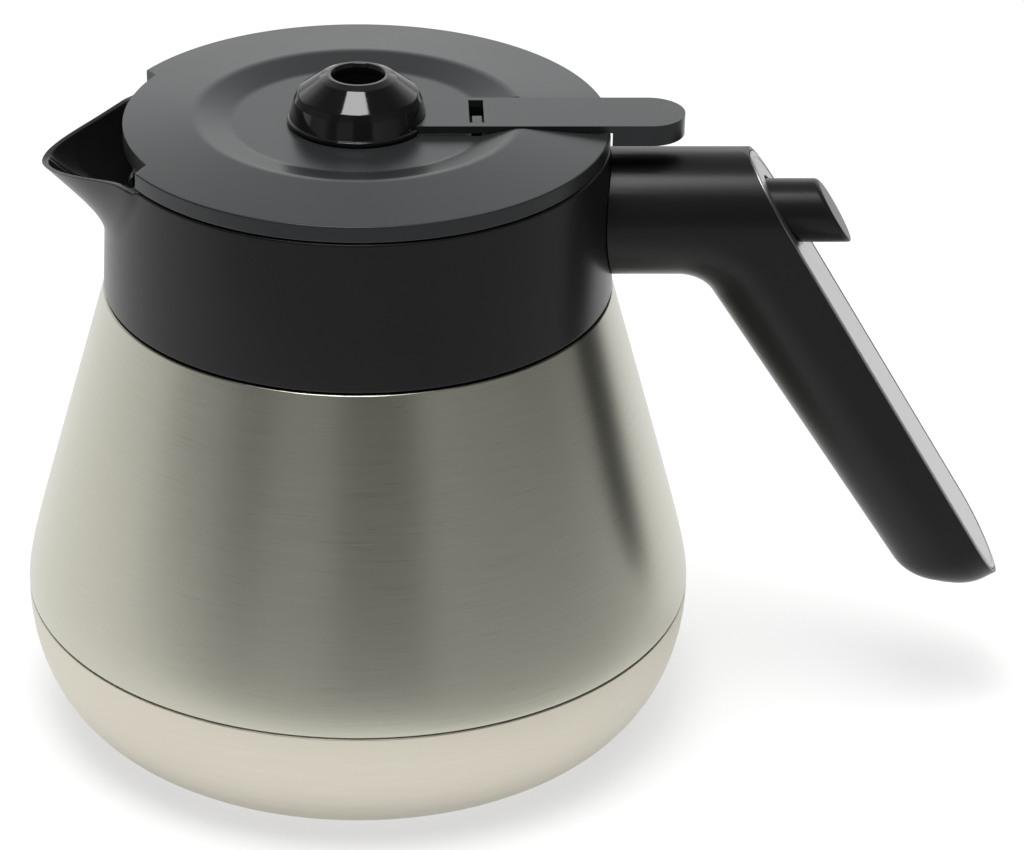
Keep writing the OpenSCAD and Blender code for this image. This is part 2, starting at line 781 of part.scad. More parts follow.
module handle_shell() {
    hollow_w = tube_r - grip_wall;
    hollow_depth = grip_depth - grip_wall + 1.3;
    color("dimgray") difference() {
        intersection() {
            grip_core();
            behind_plate(-run_gap);
            on_plate(-far) linear_extrude(2 * far) full_outline();
        }
        translate([0, 0, shoulder_z]) cylinder(
            r1 = saddle_r, r2 = saddle_r - (saddle_top - shoulder_z) * saddle_taper, h = saddle_top - shoulder_z
        );
        translate([0, 0, -1]) cylinder(r = saddle_r, h = shoulder_z + 1 + eps);
        on_plate(shell_face) linear_extrude(far) handle_outline(plate_edge);
        x_rod(rod_r + run_gap, saddle_r - 1, plate_x, 0, tube_z);
        x_rod(chamber_r, spring_x, far, 0, tube_z);
        on_plate(shell_face - hollow_depth) linear_extrude(far)
            translate([hollow_start, -hollow_w]) square([grip_len - hollow_end - hollow_start, 2 * hollow_w]);
        for (side = [-1, 1])
            x_rod(screw_r + fit_gap / 2, saddle_r - 2, screw_seat_x + screw_l + 2, side * screw_y, screw_z);
    }
}

// The grip's outline seen square to the plate: wide along its length, round at its end
module full_outline() {
    round_r = tube_r + 3 * blend_step;
    translate([-far, -tube_r - 2]) square([far + grip_len - round_r, 2 * (tube_r + 2)]);
    translate([grip_len - round_r, 0]) circle(r = round_r);
}

module handle_plate() {
    color("lightgray") difference() {
        on_plate(shell_face + fit_gap) linear_extrude(plate_t) handle_outline(plate_edge + fit_gap);
        x_rod(button_r + 2 * run_gap, plate_x - far / 4, plate_x + far / 4, 0, tube_z);
    }
}

module handle_screws() {
    color("silver") for (side = [-1, 1]) {
        x_rod(screw_head_r, screw_seat_x - screw_head_t, screw_seat_x - eps, side * screw_y, screw_z);
        x_rod(screw_r, screw_seat_x - eps, screw_seat_x + screw_l, side * screw_y, screw_z);
    }
}

module button_bush() {
    color("black") intersection() {
        difference() {
            x_rod(chamber_r - fit_gap / 2, bush_x, plate_x + far / 2, 0, tube_z);
            x_rod(button_r + run_gap, bush_x - 1, plate_x + far, 0, tube_z);
        }
        behind_plate(shell_face - fit_gap);
    }
}

module button_spring() {
    color("silver") translate([spring_x + 0.1, 0, tube_z]) rotate([0, 90, 0])
        coil(rod_r + 1.4 + wire_r, wire_r, button_turns, flange_x - spring_x - 0.2);
}

module push_button() {
    color("black") {
        intersection() {
            x_rod(button_r, flange_x + 1, plate_x + 3 * button_out, 0, tube_z);
            on_plate(button_out * cos(plate_lean) - far) linear_extrude(far)
                translate([-far / 2, -far / 2]) square([far, far]);
        }
        x_rod(chamber_r - run_gap, flange_x, flange_x + flange_t, 0, tube_z);
    }
}

module push_rod() {
    color("silver") x_rod(rod_r, rod_tip_x, flange_x - eps, 0, tube_z);
}

outer_shell();
base_bowl();
inner_flask();
foot_pad();
vacuum_seal();
neck_collar();
neck_gasket();
clamp_ring();
hinge_pins();
lid_top();
lid_plug();
lid_seal();
lid_catch();
lever_pin();
valve_spring();
thumb_lever();
inlet_knob();
valve_stem();
valve_disc();
valve_seal();
handle_shell();
handle_plate();
handle_screws();
button_bush();
button_spring();
push_button();
push_rod();
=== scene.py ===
import math
import bpy
from mathutils import Matrix, Vector


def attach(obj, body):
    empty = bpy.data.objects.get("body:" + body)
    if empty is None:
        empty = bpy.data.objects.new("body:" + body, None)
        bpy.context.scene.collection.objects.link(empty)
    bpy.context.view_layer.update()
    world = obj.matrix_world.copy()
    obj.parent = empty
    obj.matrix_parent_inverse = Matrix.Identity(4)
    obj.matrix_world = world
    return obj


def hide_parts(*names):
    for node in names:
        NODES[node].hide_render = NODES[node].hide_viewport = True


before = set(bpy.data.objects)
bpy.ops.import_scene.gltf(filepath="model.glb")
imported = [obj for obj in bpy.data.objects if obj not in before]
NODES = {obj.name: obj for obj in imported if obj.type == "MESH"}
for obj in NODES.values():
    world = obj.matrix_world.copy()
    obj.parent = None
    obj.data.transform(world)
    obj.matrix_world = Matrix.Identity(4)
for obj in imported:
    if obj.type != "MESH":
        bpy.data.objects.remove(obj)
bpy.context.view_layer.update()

MM = 0.001


# ---------------------------------------------------------------- hand tools

def clear_selection():
    if bpy.context.mode != "OBJECT":
        bpy.ops.object.mode_set(mode="OBJECT")
    bpy.ops.object.select_all(action="DESELECT")


def pick(piece):
    clear_selection()
    piece.select_set(True)
    bpy.context.view_layer.objects.active = piece


def editing(piece, mode="VERT"):
    pick(piece)
    bpy.ops.object.mode_set(mode="EDIT")
    bpy.ops.mesh.select_mode(type=mode)
    bpy.ops.mesh.select_all(action="DESELECT")


def done_editing():
    bpy.ops.object.mode_set(mode="OBJECT")


def choose_faces(piece, wanted):
    """Selects the faces whose centre and normal pass the test, in edit mode."""
    bpy.ops.object.mode_set(mode="OBJECT")
    for face in piece.data.polygons:
        face.select = bool(wanted(face.center / MM, face.normal))
    bpy.ops.object.mode_set(mode="EDIT")
    bpy.ops.mesh.select_mode(type="FACE")


def soften(piece, angle=32):
    pick(piece)
    bpy.ops.object.shade_smooth_by_angle(angle=math.radians(angle))
    level = piece.modifiers.new("even shading", "WEIGHTED_NORMAL")
    level.keep_sharp = True
    level.weight = 80
    press_modifiers(piece)


def press_modifiers(piece):
    pick(piece)
    for modifier in list(piece.modifiers):
        bpy.ops.object.modifier_apply(modifier=modifier.name)
    clear_selection()


def bevel_edges(piece, width, segments=3, angle=30):
    bevel = piece.modifiers.new("edge", "BEVEL")
    bevel.width = width * MM
    bevel.segments = segments
    bevel.limit_method = "ANGLE"
    bevel.angle_limit = math.radians(angle)
    bevel.use_clamp_overlap = True
    press_modifiers(piece)


def cut_with(piece, cutter, operation="DIFFERENCE"):
    boolean = piece.modifiers.new("cut", "BOOLEAN")
    boolean.operation = operation
    boolean.solver = "EXACT"
    boolean.object = cutter
    press_modifiers(piece)
    pick(cutter)
    bpy.ops.object.delete()


def join_onto(piece, extras):
    clear_selection()
    for extra in extras:
        extra.select_set(True)
    piece.select_set(True)
    bpy.context.view_layer.objects.active = piece
    bpy.ops.object.join()


def recalculate(piece):
    editing(piece)
    bpy.ops.mesh.select_all(action="SELECT")
    bpy.ops.mesh.remove_doubles(threshold=1e-6)
    bpy.ops.mesh.normals_make_consistent(inside=False)
    done_editing()


def rounded(corners, steps=5):
    """A profile of (radius, height, fillet) corners as plain points, each corner turned by its fillet."""
    points = []
    count = len(corners)
    for i, (r, z, fillet) in enumerate(corners):
        here = Vector((r, z))
        before = Vector(corners[i - 1][:2])
        after = Vector(corners[(i + 1) % count][:2])
        if fillet <= 0:
            points.append((r, z))
            continue
        u, v = (before - here), (after - here)
        reach = min(u.length, v.length) * 0.49
        u.normalize()
        v.normalize()
        half = u.angle(v) / 2
        back = min(fillet / math.tan(half), reach)
        radius = back * math.tan(half)
        centre = here + (u + v).normalized() * (radius / math.sin(half))
        start, end = here + u * back - centre, here + v * back - centre
        turn = start.angle_signed(end)
        for k in range(steps + 1):
            spoke = start.copy()
            spoke.rotate(Matrix.Rotation(-turn * k / steps, 2))
            points.append(tuple(centre + spoke))
    return points


def lathe(name, profile, sides=160):
    """Turns a closed profile of (radius, height) points in mm about the upright axis."""
    clear_selection()
    first_r, first_z = profile[0]
    bpy.ops.mesh.primitive_circle_add(vertices=sides, radius=first_r * MM, location=(0, 0, first_z * MM))
    piece = bpy.context.object
    piece.name = name
    pick(piece)
    bpy.ops.object.transform_apply(location=True, rotation=True, scale=True)
    bpy.ops.object.mode_set(mode="EDIT")
    bpy.ops.mesh.select_mode(type="EDGE")
    bpy.ops.mesh.select_all(action="SELECT")
    radius, height = first_r, first_z
    for r, z in list(profile[1:]) + [profile[0]]:
        bpy.ops.mesh.extrude_region_move(TRANSFORM_OT_translate={"value": (0, 0, (z - height) * MM)})
        grow = r / radius
        bpy.ops.transform.resize(value=(grow, grow, 1), center_override=(0, 0, z * MM))
        radius, height = r, z
    done_editing()
    recalculate(piece)
    return piece


def rod(name, radius, start, end, sides=64):
    """A plain rod between two points in mm, the start of a piece or a cutter."""
    a, b = Vector(start), Vector(end)
    clear_selection()
    bpy.ops.mesh.primitive_cylinder_add(
        vertices=sides, radius=radius * MM, depth=(b - a).length * MM, location=(a + b) / 2 * MM,
        rotation=(b - a).to_track_quat("Z", "Y").to_euler())
    piece = bpy.context.object
    piece.name = name
    pick(piece)
    bpy.ops.object.transform_apply(location=True, rotation=True, scale=True)
    clear_selection()
    return piece


def block(name, low, high):
    a, b = Vector(low), Vector(high)
    clear_selection()
    bpy.ops.mesh.primitive_cube_add(size=MM, location=(a + b) / 2 * MM)
    piece = bpy.context.object
    piece.name = name
    piece.scale = b - a
    pick(piece)
    bpy.ops.object.transform_apply(location=True, rotation=True, scale=True)
    clear_selection()
    return piece


# ---------------------------------------------------------------- materials

def new_material(name):
    material = bpy.data.materials.new(name)
    material.use_nodes = True
    return material, material.node_tree, material.node_tree.nodes["Principled BSDF"]


def wire(tree, a, out, b, into):
    tree.links.new(a.outputs[out], b.inputs[into])


def object_coords(tree, scale=(1, 1, 1)):
    coords = tree.nodes.new("ShaderNodeTexCoord")
    mapping = tree.nodes.new("ShaderNodeMapping")
    mapping.inputs["Scale"].default_value = scale
    wire(tree, coords, "Object", mapping, "Vector")
    return mapping


def noise(tree, vector, scale, detail=3.0, roughness=0.5):
    node = tree.nodes.new("ShaderNodeTexNoise")
    node.inputs["Scale"].default_value = scale
    node.inputs["Detail"].default_value = detail
    node.inputs["Roughness"].default_value = roughness
    tree.links.new(vector, node.inputs["Vector"])
    return node.outputs["Fac"]


def span(tree, value, low, high, from_low=0.3, from_high=0.7):
    node = tree.nodes.new("ShaderNodeMapRange")
    node.inputs["From Min"].default_value = from_low
    node.inputs["From Max"].default_value = from_high
    node.inputs["To Min"].default_value = low
    node.inputs["To Max"].default_value = high
    tree.links.new(value, node.inputs["Value"])
    return node.outputs["Result"]


def tint(tree, value, dark, light):
    ramp = tree.nodes.new("ShaderNodeValToRGB")
    ramp.color_ramp.elements[0].position = 0.3
    ramp.color_ramp.elements[0].color = (*dark, 1)
    ramp.color_ramp.elements[1].position = 0.7
    ramp.color_ramp.elements[1].color = (*light, 1)
    tree.links.new(value, ramp.inputs["Fac"])
    return ramp.outputs["Color"]


def bumped(tree, shader, value, strength, distance):
    bump = tree.nodes.new("ShaderNodeBump")
    bump.inputs["Strength"].default_value = strength
    bump.inputs["Distance"].default_value = distance
    tree.links.new(value, bump.inputs["Height"])
    wire(tree, bump, "Normal", shader, "Normal")


def moulded(name, dark, light, roughness, grain=0.12, sheen=0.5, cast=(1.0, 1.0, 1.0)):
    """Moulded plastic: faint spark grain, slow gloss changes and slight tone drift.

    sheen is how strongly it mirrors the room, and cast the colour of that reflection.
    """
    material, tree, shader = new_material(name)
    coords = object_coords(tree).outputs["Vector"]
    drift = noise(tree, coords, 22, 4)
    fine = noise(tree, coords, 2600, 2)
    tree.links.new(tint(tree, drift, dark, light), shader.inputs["Base Color"])
    tree.links.new(span(tree, drift, roughness[0], roughness[1]), shader.inputs["Roughness"])
    bumped(tree, shader, fine, grain, 0.00005)
    shader.inputs["IOR"].default_value = 1.49
    shader.inputs["Specular IOR Level"].default_value = sheen
    shader.inputs["Specular Tint"].default_value = (*cast, 1)
    return material


def brushed(name, dark, light, roughness, scale, streak, spread=0.0):
    """Brushed metal: streaks stretched along one direction in tone, gloss and bump.

    spread draws the highlights out along the body's height, as a wall brushed round and round does.
    """
    material, tree, shader = new_material(name)
    coords = object_coords(tree, scale).outputs["Vector"]
    streaks = noise(tree, coords, 60, 6, 0.65)
    tree.links.new(tint(tree, streaks, dark, light), shader.inputs["Base Color"])
    tree.links.new(span(tree, streaks, roughness[0], roughness[1]), shader.inputs["Roughness"])
    bumped(tree, shader, streaks, streak, 0.00004)
    shader.inputs["Metallic"].default_value = 1.0
    if spread:
        grain = tree.nodes.new("ShaderNodeTangent")
        grain.direction_type = "RADIAL"
        grain.axis = "Z"
        shader.inputs["Anisotropic"].default_value = spread
        shader.inputs["Anisotropic Rotation"].default_value = 0.25
        tree.links.new(grain.outputs["Tangent"], shader.inputs["Tangent"])
    return material


SATIN_LID = moulded(
    "satin lid plastic", (0.012, 0.0125, 0.013), (0.015, 0.0155, 0.016), (0.26, 0.31),
    sheen=0.38, cast=(0.92, 1.0, 1.04))
SATIN_BLACK = moulded(
    "satin black plastic", (0.006, 0.006, 0.0065), (0.008, 0.008, 0.0085), (0.26, 0.31), sheen=0.25)
GLOSS_BLACK = moulded("gloss black plastic", (0.004, 0.004, 0.004), (0.006, 0.006, 0.006), (0.05, 0.08), 0.02)
STEEL_WALL = brushed(
    "brushed steel wall", (0.49, 0.485, 0.41), (0.56, 0.555, 0.475), (0.27, 0.33), (1.2, 1.2, 110),
    streak=0.08, spread=0.45)
# the bowl's steel is a paler copy of the wall's: its satin finish is real, but its lighter tone is a painted
# reflection of the pale table beneath it
SATIN_BOWL_PAINTED_REFLECTION = brushed(
    "satin steel bowl", (0.64, 0.61, 0.525), (0.69, 0.655, 0.565), (0.42, 0.50), (1, 1, 12), streak=0.05)
STEEL_PLAIN = brushed(
    "plain steel", (0.56, 0.55, 0.53), (0.62, 0.61, 0.59), (0.26, 0.30), (4, 4, 60), streak=0.04)
PLATE_STEEL = brushed(
    "handle plate steel", (0.43, 0.435, 0.43), (0.51, 0.515, 0.51), (0.27, 0.33), (3, 110, 3), streak=0.03)
SOFT_RUBBER = moulded("grey seal rubber", (0.30, 0.30, 0.29), (0.36, 0.36, 0.35), (0.60, 0.72), 0.3)
FOOT_RUBBER = moulded("black foot rubber", (0.015, 0.015, 0.015), (0.02, 0.02, 0.02), (0.70, 0.82), 0.5)

FINISH = {
    "outer_shell": STEEL_WALL, "base_bowl": SATIN_BOWL_PAINTED_REFLECTION, "inner_flask": STEEL_PLAIN, "foot_pad": FOOT_RUBBER,
    "vacuum_seal": STEEL_PLAIN, "neck_collar": SATIN_BLACK, "neck_gasket": SOFT_RUBBER,
    "clamp_ring": SATIN_BLACK, "hinge_pins": STEEL_PLAIN, "lid_top": SATIN_LID, "lid_plug": SATIN_BLACK,
    "lid_seal": SOFT_RUBBER, "lid_catch": STEEL_PLAIN, "lever_pin": STEEL_PLAIN, "valve_spring": STEEL_PLAIN,
    "thumb_lever": SATIN_LID, "inlet_knob": GLOSS_BLACK, "valve_stem": GLOSS_BLACK, "valve_disc": SATIN_BLACK,
    "valve_seal": SOFT_RUBBER, "handle_shell": SATIN_BLACK, "handle_plate": PLATE_STEEL,
    "handle_screws": STEEL_PLAIN, "button_bush": SATIN_BLACK, "button_spring": STEEL_PLAIN,
    "push_button": SATIN_BLACK, "push_rod": STEEL_PLAIN,
}
for node_name, finish in FINISH.items():
    node = NODES[node_name]
    if not node.material_slots:
        node.data.materials.append(finish)
    for held in node.material_slots:
        held.material = finish

# ---------------------------------------------------------------- handle

TUBE_Z = 120.6          # height of the tube's axis
TUBE_R = 14.0
BEND_R = 9.5            # inner bend between tube and grip
BEND = (70.1, TUBE_Z - TUBE_R - BEND_R)
BEND_TURN = math.radians(57)
TUBE_START = 50         # the tube starts inside the collar
GRIP_LEAN = math.radians(33)
PLATE_LEAN = math.radians(30.6)
PLATE_X = 93.5          # where the plate crosses the tube's axis
GRIP_LEN = 103.6        # from there down the plate to the grip's end
SHELL_BACK = 0.3        # the shell's face lies behind the plate's
PLATE_T = 1.2
PLATE_FIT = 0.1
SEAT_EDGE = 0.9
PLATE_RIM = 0.9
GROOVE_W = 0.7
FOOT_START = GRIP_LEN - 22
FOOT_HEEL = GRIP_LEN - 11.5
TIP_BACK = 0.55
TIP_THICK = 7.6
TIP_EDGE = 1.5
CROWN_R = 3.0           # rounding between the tube's top and the plate
CHAMBER_R = 8.7         # hollow that holds bush and flange
CHAMBER_X = 76.9
ROD_HOLE_R = 2.4
BUTTON_R = 7.0
BUTTON_OUT = 11.0
BUTTON_GAP = 0.6
FLANGE_R, FLANGE_X, FLANGE_T = 8.3, 83.5, 2.2
LID_R = 54.8
COLLAR_TOP = 138.0
COLLAR_H = 34.2
COLLAR_FLARE = 1.3
DOWN = Vector((math.sin(PLATE_LEAN), 0, -math.cos(PLATE_LEAN)))
OUT = Vector((math.cos(PLATE_LEAN), 0, math.sin(PLATE_LEAN)))
PLATE_TOP = Vector((PLATE_X, 0, TUBE_Z))


def collar_radius(z):
    """Outside of the collar, which widens a little to its foot."""
    return LID_R + COLLAR_FLARE * (COLLAR_TOP - z) / COLLAR_H


def half_pipe(name, keep_upper):
    """An open half circle across the tube's start, to be drawn out along the handle."""
    clear_selection()
    bpy.ops.mesh.primitive_circle_add(
        vertices=64, radius=TUBE_R * MM, location=(TUBE_START * MM, 0, TUBE_Z * MM),
        rotation=(0, math.pi / 2, 0))
    half = bpy.context.object
    half.name = name
    pick(half)
    bpy.ops.object.transform_apply(location=True, rotation=True, scale=True)
    editing(half)
    bpy.ops.object.mode_set(mode="OBJECT")
    for vertex in half.data.vertices:
        above = vertex.co.z / MM - TUBE_Z
        vertex.select = above < -0.01 if keep_upper else above > 0.01
    bpy.ops.object.mode_set(mode="EDIT")
    bpy.ops.mesh.delete(type="VERT")
    bpy.ops.mesh.select_mode(type="EDGE")
    bpy.ops.mesh.select_all(action="SELECT")
    return half


def draw_out(x, y, z):
    bpy.ops.mesh.extrude_region_move(TRANSFORM_OT_translate={"value": (x * MM, y * MM, z * MM)})


def square_to_plate(piece, turned):
    """Turns the piece so that the plate lies flat with its slope along X, or back again."""
    turn = PLATE_LEAN - math.pi / 2
    piece.rotation_euler = (0, turn if turned else -turn, 0)
    pick(piece)
    bpy.ops.object.transform_apply(location=False, rotation=True, scale=False)
    clear_selection()


def make_handle():
    lower = half_pipe("handle_body", keep_upper=False)
    draw_out(BEND[0] - TUBE_START, 0, 0)
    bpy.ops.mesh.spin(steps=20, angle=-BEND_TURN, center=(BEND[0] * MM, 0, BEND[1] * MM), axis=(0, 1, 0))
    run = 150
    draw_out(run * math.sin(GRIP_LEAN), 0, -run * math.cos(GRIP_LEAN))
    bpy.ops.object.mode_set(mode="OBJECT")
    mesh = lower.data
    for edge in mesh.edges:
        ends = [mesh.vertices[i].co / MM for i in edge.vertices]
        edge.select = all(abs(abs(p.y) - TUBE_R) < 0.01 and p.x > BEND[0] - 0.01 for p in ends)
    bpy.ops.object.mode_set(mode="EDIT")
    draw_out(100, 0, 0)
    done_editing()
    upper = half_pipe("tube_top", keep_upper=True)
    draw_out(BEND[0] - TUBE_START, 0, 0)
    draw_out(100, 0, 0)
    done_editing()
    join_onto(lower, [upper])
    recalculate(lower)
    shape_grip_end(lower)
    return lower


def close_flat(piece, on_plane):
    """Closes the open border that lies on a plane with one face."""
    editing(piece, "EDGE")
    bpy.ops.object.mode_set(mode="OBJECT")
    mesh = piece.data
    for edge in mesh.edges:
        edge.select = all(abs(on_plane(mesh.vertices[i].co / MM)) < 0.005 for i in edge.vertices)
    bpy.ops.object.mode_set(mode="EDIT")
    bpy.ops.mesh.edge_face_add()
    done_editing()


def shape_grip_end(piece):
    """Cuts the grip's face flat and draws its foot down to a blunt tip that leans back from the plate."""
    flat_r = TUBE_R + 0.05
    tip = GRIP_LEN - TIP_BACK
    narrow_from = tip - flat_r + 0.08
    face_of_plate = PLATE_TOP - OUT * SHELL_BACK
    end_of_grip = PLATE_TOP + DOWN * FOOT_START
    editing(piece, "FACE")
    for spot, away in ((face_of_plate, OUT), (end_of_grip, DOWN)):
        bpy.ops.mesh.select_all(action="SELECT")
        bpy.ops.mesh.bisect(plane_co=spot * MM, plane_no=away, clear_outer=True, threshold=1e-7)
    done_editing()
    close_flat(piece, lambda p: p.x - TUBE_START)
    close_flat(piece, lambda p: (p - face_of_plate).dot(OUT))
    close_flat(piece, lambda p: (p - end_of_grip).dot(DOWN))
    recalculate(piece)
    square_to_plate(piece, True)
    flat = PLATE_TOP.copy()
    flat.rotate(Matrix.Rotation(PLATE_LEAN - math.pi / 2, 3, "Y"))
    flat_z = flat.z - SHELL_BACK
    editing(piece, "FACE")
    choose_faces(piece, lambda c, n: n.x > 0.99)
    near_foot = (flat.x + FOOT_START - 0.1) * MM
    depth = flat_z - min(v.co.z for v in piece.data.vertices if v.co.x > near_foot) / MM
    heel = depth - (FOOT_HEEL - FOOT_START) * math.tan(GRIP_LEAN - PLATE_LEAN)
    side = rounded([
        (FOOT_START, depth, 0), (FOOT_HEEL, heel, 10), (tip, TIP_THICK, 5), (tip, TIP_EDGE, 0)], steps=9)
    fine = side[:1]
    for s, new_deep in side[1:]:
        s0, deep0 = fine[-1]
        parts = max(1, math.ceil((s - s0) / 0.7))
        steps = [k / parts for k in range(1, parts + 1)]
        fine += [(s0 + (s - s0) * k, deep0 + (new_deep - deep0) * k) for k in steps]
    half, deep, at = TUBE_R, depth, FOOT_START
    for s, new_deep in fine[1:]:
        new_half = TUBE_R
        if s > narrow_from:
            new_half = math.sqrt(flat_r ** 2 - (s - narrow_from) ** 2) * TUBE_R / flat_r
        draw_out(s - at, 0, 0)
        bpy.ops.transform.resize(
            value=(1, new_half / half, new_deep / deep), center_override=((flat.x + s) * MM, 0, flat_z * MM))
        half, deep, at = new_half, new_deep, s
    done_editing()
    recalculate(piece)
    square_to_plate(piece, False)


def round_crown(piece, back):
    """Rounds the corner between the tube's top and the plate's face with a few flat cuts."""
    face = PLATE_TOP - OUT * back
    corner_z = TUBE_Z + TUBE_R
    corner_x = face.x + (face.z - corner_z) * OUT.z / OUT.x
    half_turn = (math.pi / 2 - PLATE_LEAN) / 2
    along = CROWN_R / math.cos(half_turn)
    middle = PLATE_LEAN + half_turn
    centre = Vector((corner_x - along * math.cos(middle), 0, corner_z - along * math.sin(middle)))
    editing(piece, "FACE")
    for lean in (80, 69, 58, 47, 38):
        away = Vector((math.cos(math.radians(lean)), 0, math.sin(math.radians(lean))))
        bpy.ops.mesh.select_all(action="SELECT")
        bpy.ops.mesh.bisect(
            plane_co=(centre + away * CROWN_R) * MM, plane_no=away, clear_outer=True, use_fill=True,
            threshold=1e-7)
    done_editing()
    recalculate(piece)


def finish_handle(piece):
    low, high, inside, fit = 90, 150, 40, 0.2
    saddle = lathe("saddle", [
        (inside, low), (collar_radius(low) + fit, low),
        (collar_radius(high) + fit, high), (inside, high)], 256)
    cut_with(piece, saddle)
    square_to_plate(piece, True)
    editing(piece, "FACE")
    choose_faces(piece, lambda c, n: n.z > 0.999)
    bpy.ops.mesh.dissolve_faces()
    bpy.ops.mesh.inset(thickness=SEAT_EDGE * MM)
    draw_out(0, 0, -(PLATE_T + 0.2 - SHELL_BACK))
    done_editing()
    square_to_plate(piece, False)
    round_crown(piece, SHELL_BACK)
    cut_with(piece, rod("chamber", CHAMBER_R, (CHAMBER_X, 0, TUBE_Z), (130, 0, TUBE_Z)))
    cut_with(piece, rod("rod hole", ROD_HOLE_R, (45, 0, TUBE_Z), (80, 0, TUBE_Z), sides=32))
    bevel_edges(piece, 0.35, 3, 50)
    soften(piece, 50)


handle = make_handle()
finish_handle(handle)
handle.data.materials.append(SATIN_BLACK)
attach(handle, "carafe")
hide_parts("handle_shell")

# ---------------------------------------------------------------- plate and button in the handle

def make_plate():
    """Light plate let into the grip, with its rim rounded over and a hole for the button."""
    half_w = TUBE_R - SEAT_EDGE - PLATE_FIT
    long_r = TUBE_R / math.cos(PLATE_LEAN) - SEAT_EDGE - PLATE_FIT
    straight = GRIP_LEN - TUBE_R - TIP_BACK
    under = -PLATE_T - PLATE_FIT
    flat = PLATE_TOP.copy()
    flat.rotate(Matrix.Rotation(PLATE_LEAN - math.pi / 2, 3, "Y"))
    clear_selection()
    bpy.ops.mesh.primitive_circle_add(
        vertices=96, radius=half_w * MM, fill_type="NGON", location=(flat.x * MM, 0, (flat.z + under) * MM))
    plate = bpy.context.object
    plate.name = "handle_face"
    pick(plate)
    bpy.ops.object.transform_apply(location=True, rotation=True, scale=True)
    editing(plate)
    bpy.ops.object.mode_set(mode="OBJECT")
    for vertex in plate.data.vertices:
        vertex.select = vertex.co.x / MM > flat.x - 0.01
    bpy.ops.object.mode_set(mode="EDIT")
    bpy.ops.transform.translate(value=(straight * MM, 0, 0))
    bpy.ops.mesh.select_all(action="INVERT")
    bpy.ops.transform.resize(value=(long_r / half_w, 1, 1), center_override=(flat.x * MM, 0, 0))
    bpy.ops.mesh.select_all(action="SELECT")
    draw_out(0, 0, PLATE_T)
    done_editing()
    recalculate(plate)
    editing(plate, "FACE")
    choose_faces(plate, lambda c, n: n.z > 0.999)
    for width, rise in ((PLATE_RIM, 0), (GROOVE_W / 2, -0.4), (GROOVE_W / 2, 0.35)):
        bpy.ops.mesh.inset(thickness=width * MM, depth=rise * MM)
    done_editing()
    square_to_plate(plate, False)
    round_crown(plate, 0)
    hole = rod("button hole", BUTTON_R + BUTTON_GAP, (70, 0, TUBE_Z), (130, 0, TUBE_Z), sides=96)
    cut_with(plate, hole)
    bevel_edges(plate, 0.4, 4, 40)
    soften(plate, 40)
    return plate


def make_button():
    """Round button drawn along the tube, its end cut along the plate's slope and softened."""
    button = rod("release_button", BUTTON_R, (84, 0, TUBE_Z), (125, 0, TUBE_Z), sides=96)
    editing(button, "FACE")
    bpy.ops.mesh.select_all(action="SELECT")
    reach = Vector((PLATE_X + BUTTON_OUT, 0, TUBE_Z))
    bpy.ops.mesh.bisect(plane_co=reach * MM, plane_no=OUT, use_fill=True, clear_outer=True)
    done_editing()
    bevel_edges(button, 0.9, 5, 30)
    flange = rod(
        "button flange", FLANGE_R, (FLANGE_X, 0, TUBE_Z), (FLANGE_X + FLANGE_T, 0, TUBE_Z), sides=96)
    bevel_edges(flange, 0.3, 2, 30)
    join_onto(button, [flange])
    soften(button, 35)
    return button


plate = make_plate()
plate.data.materials.append(PLATE_STEEL)
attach(plate, "carafe")
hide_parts("handle_plate")
button = make_button()
button.data.materials.append(SATIN_BLACK)
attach(button, "button")
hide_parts("push_button")

# ---------------------------------------------------------------- collar and spout

COLLAR_FOOT_Z = 104.1
COLLAR_IN_R = 53.3
SHELF_Z, SHELF_TOP, SHELF_R = 115.2, 117.3, 42.5
NECK_Z, NECK_R = 113.6, 48.0
BORE_TOP_R = 49.2
BORE_FOOT_Z = 119.5     # below this the bore is straight, for the seal
SEAL_BORE_R = 46.6
SPOUT_FOOT = 118.0
MOUTH_FOOT = 123.0
SPOUT_REACH = 13.9
LIP_WALL = 1.4
MOUTH_HALF = 27.5       # degrees from the lip to the mouth's side
SPOUT_HALF = 34


def bore_radius(z):
    return SEAL_BORE_R + (BORE_TOP_R - SEAL_BORE_R) * (z - BORE_FOOT_Z) / (COLLAR_TOP - BORE_FOOT_Z)


def eased(value, width):
    """value where it is positive and 0 below, with a soft turn between."""
    return (value + math.sqrt(value * value + width * width)) / 2


def spout_plan(angle):
    """How far the rim stands out, as a share of the lip's, at an angle in degrees from the lip."""
    bell = 1.02 * math.exp(-abs(angle) ** 1.85 / 180)
    return max(bell - 0.05 * min(abs(angle) / SPOUT_HALF, 1) ** 14, 0)


def spout_rise(level):
    """How the spout leaves the wall from its foot, 0, to its rim, 1."""
    bent = eased(level - 0.12, 0.11) - eased(-0.12, 0.11)
    return bent / (eased(0.88, 0.11) - eased(-0.12, 0.11))


def rim_height(angle):
    """Height of the rim, which dips towards the lip."""
    flat = COLLAR_TOP - 0.8
    return flat - 4.6 * (1 - min(abs(angle) / 24, 1) ** 1.5) ** 1.3


